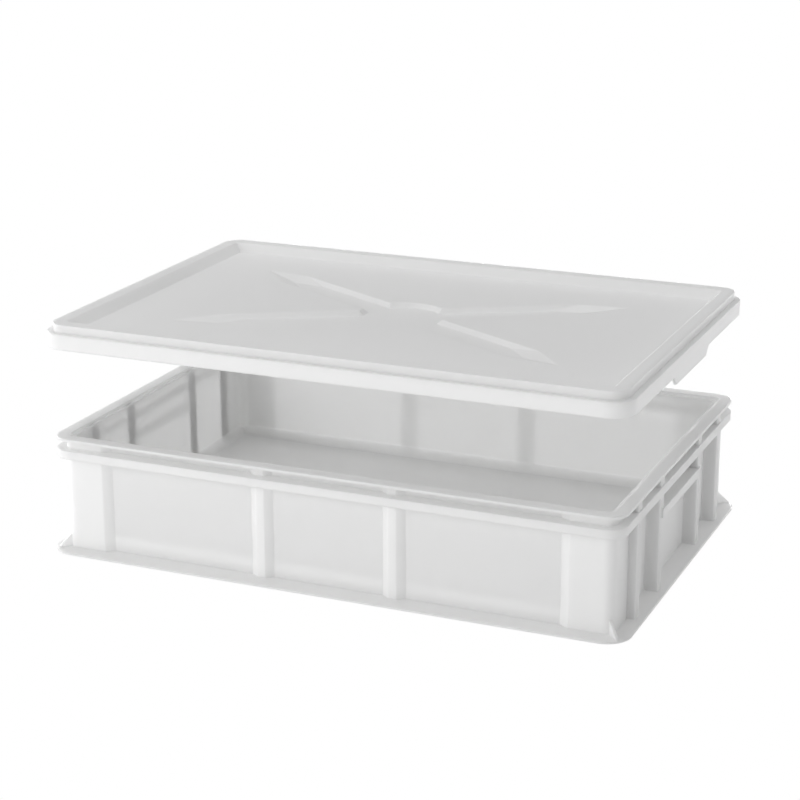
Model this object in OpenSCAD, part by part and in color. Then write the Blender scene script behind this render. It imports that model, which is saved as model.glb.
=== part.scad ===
// Stackable dough proofing container: a shallow moulded tray and its lift-off lid.
// X runs along the long side, Y along the short side, Z up. Origin: centre of the tray's foot.

/* [Tray] */
// Length of the tray's rim, outside
tray_l = 600; // [500:1:700]
// Width of the tray's rim, outside
tray_w = 400; // [330:1:500]
// Height of the tray
tray_h = 122; // [100:1:200]
// Corner radius of the rim, outside
rim_r = 20; // [16:0.5:24]
// Width of the flat band on top of the rim
rim_band = 13; // [11:0.5:15]
// Thickness of the rim
rim_t = 3; // [2:0.1:4]
// Thickness of the tray's walls
wall = 2.5; // [2:0.1:3]
// How far the wall stands in from the edge of the rim
wall_inset = 14.5; // [13.5:0.5:18]
// Depth of the ledge inside the rim
ledge_drop = 3; // [2:0.5:6]
// Corner radius of the inside
inside_r = 10; // [8:1:16]

/* [Collar] */
// Depth of the collar's top face below the rim
collar_drop = 12.5; // [10:0.5:20]
// Height of the collar's lip
collar_h = 9; // [5:0.5:10]

/* [Base] */
// Height of the floor's underside above the foot
floor_z = 9; // [7:0.5:12]
// Thickness of the floor
floor_t = 3; // [2:0.1:4]
// How far the foot stands out beyond the edge of the rim
foot_out = 6; // [2:0.5:8]
// Thickness of the foot's flange at its edge
foot_edge = 2; // [1.5:0.1:3]
// Thickness of the foot's flange at the wall
foot_root = 3.5; // [3:0.1:5]
// Height of the web in each corner of the foot
web_h = 22; // [10:1:40]
// Thickness of that web
web_t = 3; // [2:0.5:4]
// Run of the fillet between floor and wall
cove = 9; // [5:0.5:12]

/* [Posts and ribs] */
// How far the posts' faces stand in from the edge of the rim
post_inset = 9.5; // [8.5:0.5:11]
// Length of a post's face along a long side, from the end of the rim
post_long = 53; // [40:1:60]
// Distance of the ribs from the middle of a long side
rib_at = 70; // [50:1:100]
// Width of a rib's face on a long side
rib_w = 8.5; // [6:0.5:16]
// Run of the slope between wall and face
rib_splay = 9.5; // [6:0.5:12]

/* [Fins on the short sides] */
// How far the fins' faces stand in from the edge of the rim
fin_inset = 1.5; // [1:0.5:4]
// Width of a fin's face
fin_w = 12; // [9:0.5:16]
// Run of a fin's flank
fin_splay = 3; // [1:0.5:5]
// Distance of the inner fins from the middle
fin_in = 67; // [50:1:70]
// Distance of the outer fins from the side of the rim
fin_out = 60; // [54:1:66]

/* [Grips] */
// Height of a grip below the collar, lip to lip
grip_drop = 24; // [18:1:40]

/* [Lid] */
// Gap between the lid's skirt and the tray's rim
lid_gap = 1.5; // [1:0.1:2]
// Thickness of the lid
lid_t = 2.5; // [2:0.1:3]
// Height of the lid's skirt, from its step down
skirt_h = 15.5; // [12:0.5:16]
// Width of the step between skirt and raised border
step_w = 6; // [5:0.5:8]
// Height of the raised border above the step
border_h = 8.5; // [6:0.5:12]
// Width of the raised border's flat top
border_w = 14; // [10:0.5:18]
// Depth of the panel below the border's top
panel_drop = 9; // [6:0.5:10]
// Run of the slope between border and panel
panel_slope = 9; // [6:0.5:14]
// Length of the pull tab on each short side
tab_l = 124; // [80:1:160]
// Depth of the pull tab below the skirt
tab_h = 9; // [5:0.5:10]

/* [Cross on the lid] */
// Distance of an arm's tip from the middle, along the lid
arm_x = 207; // [150:1:220]
// Distance of an arm's tip from the middle, across the lid
arm_y = 112; // [80:1:120]
// Width of an arm at the panel
arm_w = 36; // [24:1:44]
// Depth of an arm below the panel
arm_h = 4.5; // [3:0.5:6]
// Run of an arm's sloping sides
arm_side = 5; // [3:0.5:8]
// Length of an arm's pointed tip
arm_tip = 48; // [30:1:60]
// Radius of the hub
hub_r = 46; // [30:1:55]

/* [Pose] */
// How far the lid is lifted off the tray
lid_lift = 107; // [20:1:120]

/* [Hidden] */
$fn = 64;
eps = 0.01;
plastic = [0.93, 0.93, 0.92];

// profiles count outward from the centres of the rim's corner arcs: at(i) is i in from the rim
core_l = tray_l - 2 * rim_r;
core_w = tray_w - 2 * rim_r;
inner_inset = wall_inset + wall;
floor_top = floor_z + floor_t;
under_rim = tray_h - rim_t;
ledge_z = tray_h - ledge_drop;
collar_top = tray_h - collar_drop;
fin_at = tray_w / 2 - fin_out;

// lid heights with the lid closed: its step rests on the rim
step_z = tray_h + lid_t;
border_z = step_z + border_h;
panel_z = border_z - panel_drop;
skirt_z = step_z - skirt_h;
skirt_out = lid_gap + lid_t;
border_out = skirt_out - step_w;
panel_in = border_w + panel_slope - border_out;
panel_l = tray_l - 2 * panel_in;
panel_w = tray_w - 2 * panel_in;
arm_angle = atan2(arm_y, arm_x);
arm_len = norm([arm_x, arm_y]);
// the normal of one of the two faces of an arm's tip, as angles for the block that cuts it
tip_normal = cross([arm_tip, arm_w / 2, 0], [0, arm_w / 2, arm_h]);
tip_tilt = acos(tip_normal.z / norm(tip_normal));
tip_turn = atan2(tip_normal.y, tip_normal.x);

function at(inset) = rim_r - inset;

// sweeps a profile of distance and height round the four sides and corners
module swept() {
    for (k = [0:3]) {
        run = k % 2 == 0 ? core_w : core_l;
        reach = (k % 2 == 0 ? core_l : core_w) / 2;
        rotate(90 * k)
            translate([reach, 0, 0])
                rotate([90, 0, 0])
                    linear_extrude(run, center = true)
                        children();
    }
    for (k = [0:3]) {
        x = (k == 0 || k == 3 ? 1 : -1) * core_l / 2;
        y = (k < 2 ? 1 : -1) * core_w / 2;
        translate([x, y, 0])
            rotate(90 * k)
                rotate_extrude(angle = 90)
                    intersection() {
                        children();
                        square([4 * rim_r, 2 * tray_h]);
                    }
    }
}

// a rounded rectangle, from height z0 to z1, that stands this far in from the rim
module slab(inset, r, z0, z1) {
    l = tray_l - 2 * inset;
    w = tray_w - 2 * inset;
    translate([0, 0, z0])
        linear_extrude(z1 - z0)
            rounded(l, w, r);
}

module rounded(l, w, r) {
    square([l - 2 * r, w], center = true);
    square([l, w - 2 * r], center = true);
    for (x = [-1, 1], y = [-1, 1])
        translate([x * (l / 2 - r), y * (w / 2 - r)])
            circle(r);
}

// plan of the posts: each wraps round a corner, from a slope on the long side to the outer fin
module post_plan() {
    l = tray_l / 2;
    w = tray_w / 2;
    x = l - post_long;
    intersection() {
        rounded(tray_l - 2 * post_inset, tray_w - 2 * post_inset, rim_r - post_inset);
        for (a = [-1, 1], b = [-1, 1])
            scale([a, b])
                polygon([
                    [x, w], [x, w - post_inset], [x - rib_splay, w - wall_inset],
                    [x - rib_splay, fin_at], [l, fin_at], [l, w]
                ]);
    }
}

// plan of the fins, drawn smaller by this much for the hollow inside them
module fin_plan(less) {
    for (x = [-1, 1], y = [-fin_at, -fin_in, fin_in, fin_at])
        translate([x * tray_l / 2, y])
            rotate(-90 * x)
                rib_plan(fin_w / 2 - less, fin_inset + less, fin_splay);
}

module rib_plan(half, face, splay) {
    back = wall_inset + wall / 2;
    polygon([
        [-half, -face], [-half - splay, -back], [half + splay, -back], [half, -face]
    ]);
}

module uprights() {
    translate([0, 0, foot_edge])
        linear_extrude(ledge_z - foot_edge) {
            post_plan();
            fin_plan(0);
            for (y = [-1, 1], x = [-rib_at, rib_at])
                translate([x, y * tray_w / 2])
                    scale([1, y])
                        rib_plan(rib_w / 2, post_inset, rib_splay);
        }
}

// the space inside the fins, open below
module hollows() {
    translate([0, 0, -1])
        linear_extrude(under_rim - wall + 1)
            difference() {
                fin_plan(wall);
                rounded(tray_l - 2 * wall_inset, tray_w - 2 * wall_inset, inside_r + wall);
            }
}

// a plate with a lip that hangs from its edge, all round, with its top at this height
module lipped_plate(top) {
    swept()
        polygon([
            [at(wall_inset) - eps, top - wall], [at(wall_inset) - eps, top], [at(0), top],
            [at(0), top - collar_h], [at(wall), top - collar_h], [at(wall), top - wall]
        ]);
}

// a grip for the fingers on each short side: the collar's form again, between the inner fins
module grips() {
    top = collar_top - grip_drop;
    intersection() {
        lipped_plate(top);
        translate([0, 0, top - collar_h / 2])
            cube([2 * tray_l, 2 * fin_in, 2 * collar_h], center = true);
    }
}

// the foot: the wall's lower end and a flange all round
module foot() {
    swept()
        polygon([
            [at(inner_inset), 0], [at(inner_inset), floor_top], [at(wall_inset), floor_top],
            [at(wall_inset), foot_root], [at(-foot_out), foot_edge], [at(-foot_out), 0]
        ]);
}

// a web stands on the foot's flange in each corner
module webs() {
    reach = sqrt(2) * (wall_inset + foot_out) - (sqrt(2) - 1) * (rim_r + foot_out);
    for (x = [-1, 1], y = [-1, 1])
        scale([x, y, 1])
            translate([tray_l / 2 - wall_inset, tray_w / 2 - wall_inset, 0])
                rotate([90, 0, 45])
                    linear_extrude(web_t, center = true)
                        polygon([[-inside_r, 0], [-inside_r, web_h], [-wall, web_h],
                                 [reach, foot_edge], [reach, 0]]);
}

module inside() {
    slab(inner_inset, inside_r, floor_top + cove, ledge_z + eps);
    slab(rim_band, rim_r - rim_band, ledge_z, tray_h + 1);
}

// the floor's well narrows into a cove on all four sides
module well() {
    difference() {
        slab(inner_inset, inside_r, floor_top, floor_top + cove + 2 * eps);
        coves();
    }
}

module coves() {
    for (k = [0:3]) {
        run = (k % 2 == 0 ? tray_w : tray_l) - 2 * inner_inset;
        reach = (k % 2 == 0 ? tray_l : tray_w) / 2 - inner_inset;
        rotate(90 * k)
            translate([reach, 0, floor_top])
                rotate([90, 0, 0])
                    linear_extrude(run, center = true)
                        polygon([[1, -1], [1, cove + 1], [0, cove + 1], [0, cove],
                                 [-cove, 0], [-cove, -1]]);
    }
}

module tray() {
    color(plastic)
        difference() {
            union() {
                slab(wall_inset, inside_r + wall, 0, ledge_z);
                slab(rim_band - wall, rim_r - rim_band + wall, ledge_z - wall, tray_h);
                slab(0, rim_r, under_rim, tray_h);
                uprights();
                lipped_plate(collar_top);
                grips();
                foot();
                webs();
            }
            inside();
            well();
            slab(inner_inset, inside_r, -1, floor_z);
            hollows();
        }
}

// one arm of the cross: a flat form that runs out of the hub to a pointed tip
module arm() {
    half = arm_w / 2;
    neck = arm_len - arm_tip;
    difference() {
        rotate([90, 0, 90])
            linear_extrude(arm_len)
                polygon([
                    [-half, 0], [half, 0], [half - arm_side, arm_h], [arm_side - half, arm_h]
                ]);
        for (y = [-1, 1])
            scale([1, y, 1])
                translate([neck, -half, 0])
                    rotate([0, tip_tilt, tip_turn])
                        translate([-arm_len, -arm_len, 0])
                            cube([2 * arm_len, 2 * arm_len, arm_len]);
    }
}

// the whole cross, pressed down from this height
module cross_form(z) {
    translate([0, 0, z])
        rotate([180, 0, 0]) {
            for (a = [arm_angle, 180 - arm_angle, 180 + arm_angle, -arm_angle])
                rotate(a)
                    arm();
            cylinder(arm_h, hub_r, hub_r - arm_side);
        }
}

// the lid's shell, from the skirt's edge over the step and border down to the panel
module border() {
    rim_edge = at(-border_out);
    crest = at(border_w - border_out);
    foot = at(panel_in);
    swept()
        polygon([
            [at(-skirt_out), skirt_z], [at(-skirt_out), step_z], [rim_edge, step_z],
            [rim_edge, border_z], [crest, border_z], [foot, panel_z], [foot, panel_z - lid_t],
            [crest + lid_t / 2, border_z - lid_t], [rim_edge - lid_t, border_z - lid_t],
            [rim_edge - lid_t, step_z - lid_t], [at(-lid_gap), step_z - lid_t],
            [at(-lid_gap), skirt_z]
        ]);
}

// a pull tab hangs below the skirt in the middle of each short side
module tabs() {
    for (a = [0, 180])
        rotate(a)
            translate([tray_l / 2 + lid_gap, 0, skirt_z])
                rotate([90, 0, 90])
                    linear_extrude(lid_t)
                        polygon([
                            [-tab_l / 2, 0], [-tab_l / 2 + tab_h, -tab_h],
                            [tab_l / 2 - tab_h, -tab_h], [tab_l / 2, 0],
                            [tab_l / 2, lid_t], [-tab_l / 2, lid_t]
                        ]);
}

module lid() {
    color(plastic)
        translate([0, 0, lid_lift])
            difference() {
                union() {
                    border();
                    tabs();
                    translate([0, 0, panel_z - lid_t])
                        linear_extrude(lid_t)
                            square([panel_l + 2 * eps, panel_w + 2 * eps], center = true);
                    cross_form(panel_z - lid_t + eps);
                }
                cross_form(panel_z + eps);
            }
}

tray();
lid();
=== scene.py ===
"""Looks for the dough proofing container: milky polyethylene, soft studio light, white floor."""
import math

import bpy
from mathutils import Matrix, Vector

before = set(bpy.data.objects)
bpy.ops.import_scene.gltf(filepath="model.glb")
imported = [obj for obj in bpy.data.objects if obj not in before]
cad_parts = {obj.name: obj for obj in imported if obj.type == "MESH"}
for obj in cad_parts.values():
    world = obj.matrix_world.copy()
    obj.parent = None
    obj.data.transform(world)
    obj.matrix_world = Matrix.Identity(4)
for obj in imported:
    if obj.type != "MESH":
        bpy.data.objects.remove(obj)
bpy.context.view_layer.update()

# Camera, fitted to the tray's rim and foot in the photograph
IMAGE_WIDTH = 800
FOCAL_PIXELS = 2093.8
CAMERA_AZIMUTH = math.radians(23.10)
CAMERA_ELEVATION = math.radians(19.59)
CAMERA_DISTANCE = 2.1846
CAMERA_TARGET = Vector((0, 0, 0.060))
AIM_RIGHT = math.radians(0.07)
AIM_DOWN = math.radians(-1.98)
CAMERA_ROLL = math.radians(-0.15)
SENSOR_WIDTH = 36.0

# Plastic: colours, roughness, how far light soaks in (m), and the softness of its edges (m)
MILKY = (0.93, 0.93, 0.925, 1)
MILKY_DEEP = (0.86, 0.865, 0.86, 1)
DEEP_SHARE = 0.25
SMOOTHEST = 0.27
ROUGHEST = 0.42
PLASTIC_IOR = 1.5
SOAK = 0.9
SCATTER = 0.0075
EDGE_RADIUS = 0.002
EDGE_SAMPLES = 4
CLOUD_SCALE = 9
CLOUD_DETAIL = 3
GRAIN_SCALE = 260
GRAIN_DETAIL = 2
GRAIN_STRENGTH = 0.06
GRAIN_HEIGHT = 0.0004

# Table: its size and depth below the foot (m), its grey, and the light that comes up from it
TABLE_SIZE = 40
TABLE_DROP = 0.0005
TABLE_GREY = (0.9, 0.9, 0.9, 1)
TABLE_ROUGHNESS = 0.8
TABLE_GLOW = 0.2

# Studio: the sky's strength, the point that the lamps face, and each lamp's place, size and power
SKY_STRENGTH = 0.44
LAMP_AIM = Vector((0, 0, 0.1))
LAMPS = {
    "front": ((-1.5, -2.2, 0.95), (2.2, 1.4), 26),
    "top": ((-0.5, 0.7, 2.1), (1.6, 1.2), 10),
    "back": ((0.1, 1.8, 0.16), (2.6, 0.3), 13),
    "left": ((-2.0, 0.2, 0.16), (1.6, 0.3), 11),
}


def add_camera():
    data = bpy.data.cameras.new("camera")
    data.sensor_width = SENSOR_WIDTH
    data.lens = SENSOR_WIDTH * FOCAL_PIXELS / IMAGE_WIDTH
    camera = bpy.data.objects.new("camera", data)
    bpy.context.scene.collection.objects.link(camera)
    level = math.cos(CAMERA_ELEVATION)
    away = Vector((
        math.sin(CAMERA_AZIMUTH) * level,
        -math.cos(CAMERA_AZIMUTH) * level,
        math.sin(CAMERA_ELEVATION),
    ))
    turn = Matrix.Rotation(CAMERA_AZIMUTH + AIM_RIGHT, 4, "Z")
    tilt = Matrix.Rotation(math.pi / 2 - CAMERA_ELEVATION - AIM_DOWN, 4, "X")
    roll = Matrix.Rotation(CAMERA_ROLL, 4, "Z")
    place = Matrix.Translation(CAMERA_TARGET + away * CAMERA_DISTANCE)
    camera.matrix_world = place @ turn @ tilt @ roll
    bpy.context.scene.camera = camera


def new_material(name):
    material = bpy.data.materials.new(name)
    material.use_nodes = True
    return material, material.node_tree.nodes, material.node_tree.links


def milky_plastic(name, seed):
    """Translucent polyethylene: light soaks in, the mould's faint ripple shows in the gloss."""
    material, nodes, links = new_material(name)
    shader = nodes["Principled BSDF"]
    shader.inputs["Subsurface Weight"].default_value = SOAK
    shader.inputs["Subsurface Radius"].default_value = (1, 1, 1)
    shader.inputs["Subsurface Scale"].default_value = SCATTER
    shader.inputs["IOR"].default_value = PLASTIC_IOR

    place = nodes.new("ShaderNodeTexCoord")
    mapping = nodes.new("ShaderNodeMapping")
    mapping.inputs["Location"].default_value = (seed, seed, seed)
    links.new(place.outputs["Object"], mapping.inputs["Vector"])

    cloud = nodes.new("ShaderNodeTexNoise")
    cloud.inputs["Scale"].default_value = CLOUD_SCALE
    cloud.inputs["Detail"].default_value = CLOUD_DETAIL
    links.new(mapping.outputs["Vector"], cloud.inputs["Vector"])
    tint = nodes.new("ShaderNodeMix")
    tint.data_type = "RGBA"
    tint.inputs["A"].default_value = MILKY
    tint.inputs["B"].default_value = MILKY_DEEP
    fade = nodes.new("ShaderNodeMath")
    fade.operation = "MULTIPLY"
    fade.inputs[1].default_value = DEEP_SHARE
    links.new(cloud.outputs["Fac"], fade.inputs[0])
    links.new(fade.outputs["Value"], tint.inputs["Factor"])
    links.new(tint.outputs["Result"], shader.inputs["Base Color"])

    rough = nodes.new("ShaderNodeMapRange")
    rough.inputs["To Min"].default_value = SMOOTHEST
    rough.inputs["To Max"].default_value = ROUGHEST
    links.new(cloud.outputs["Fac"], rough.inputs["Value"])
    links.new(rough.outputs["Result"], shader.inputs["Roughness"])

    grain = nodes.new("ShaderNodeTexNoise")
    grain.inputs["Scale"].default_value = GRAIN_SCALE
    grain.inputs["Detail"].default_value = GRAIN_DETAIL
    links.new(mapping.outputs["Vector"], grain.inputs["Vector"])
    edge = nodes.new("ShaderNodeBevel")
    edge.samples = EDGE_SAMPLES
    edge.inputs["Radius"].default_value = EDGE_RADIUS
    bump = nodes.new("ShaderNodeBump")
    bump.inputs["Strength"].default_value = GRAIN_STRENGTH
    bump.inputs["Distance"].default_value = GRAIN_HEIGHT
    links.new(grain.outputs["Fac"], bump.inputs["Height"])
    links.new(edge.outputs["Normal"], bump.inputs["Normal"])
    links.new(bump.outputs["Normal"], shader.inputs["Normal"])
    return material


def dress(node, material):
    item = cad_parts[node]
    item.data.materials.clear()
    item.data.materials.append(material)


def add_area(name, place, size, power):
    data = bpy.data.lights.new(name, "AREA")
    data.shape = "RECTANGLE"
    data.size, data.size_y = size
    data.energy = power
    light = bpy.data.objects.new(name, data)
    light.location = place
    light.visible_camera = False
    light.rotation_euler = (LAMP_AIM - Vector(place)).to_track_quat("-Z", "Y").to_euler()
    bpy.context.scene.collection.objects.link(light)


def add_floor():
    """A light table: plain white to the camera, clear when seen from below."""
    bpy.ops.mesh.primitive_plane_add(size=TABLE_SIZE, location=(0, 0, -TABLE_DROP))
    floor = bpy.context.object
    floor.name = "floor"
    material, nodes, links = new_material("floor_white")
    shader = nodes["Principled BSDF"]
    shader.inputs["Base Color"].default_value = TABLE_GREY
    shader.inputs["Roughness"].default_value = TABLE_ROUGHNESS
    table = nodes.new("ShaderNodeEmission")
    table.inputs["Strength"].default_value = TABLE_GLOW
    lit = nodes.new("ShaderNodeAddShader")
    links.new(shader.outputs["BSDF"], lit.inputs[0])
    links.new(table.outputs["Emission"], lit.inputs[1])

    white = nodes.new("ShaderNodeEmission")
    path = nodes.new("ShaderNodeLightPath")
    seen = nodes.new("ShaderNodeMixShader")
    links.new(path.outputs["Is Camera Ray"], seen.inputs["Fac"])
    links.new(lit.outputs["Shader"], seen.inputs[1])
    links.new(white.outputs["Emission"], seen.inputs[2])

    side = nodes.new("ShaderNodeNewGeometry")
    clear = nodes.new("ShaderNodeBsdfTransparent")
    pick = nodes.new("ShaderNodeMixShader")
    links.new(side.outputs["Backfacing"], pick.inputs["Fac"])
    links.new(seen.outputs["Shader"], pick.inputs[1])
    links.new(clear.outputs["BSDF"], pick.inputs[2])
    links.new(pick.outputs["Shader"], nodes["Material Output"].inputs["Surface"])
    floor.data.materials.append(material)


def add_world():
    world = bpy.data.worlds.new("studio")
    bpy.context.scene.world = world
    world.use_nodes = True
    sky = world.node_tree.nodes["Background"]
    sky.inputs["Color"].default_value = (1, 1, 1, 1)
    sky.inputs["Strength"].default_value = SKY_STRENGTH


add_camera()
add_world()
add_floor()
for name, (place, size, power) in LAMPS.items():
    add_area(name, place, size, power)

dress("tray", milky_plastic("tray_plastic", 0))
dress("lid", milky_plastic("lid_plastic", 5))

bpy.context.scene.view_settings.view_transform = "Standard"
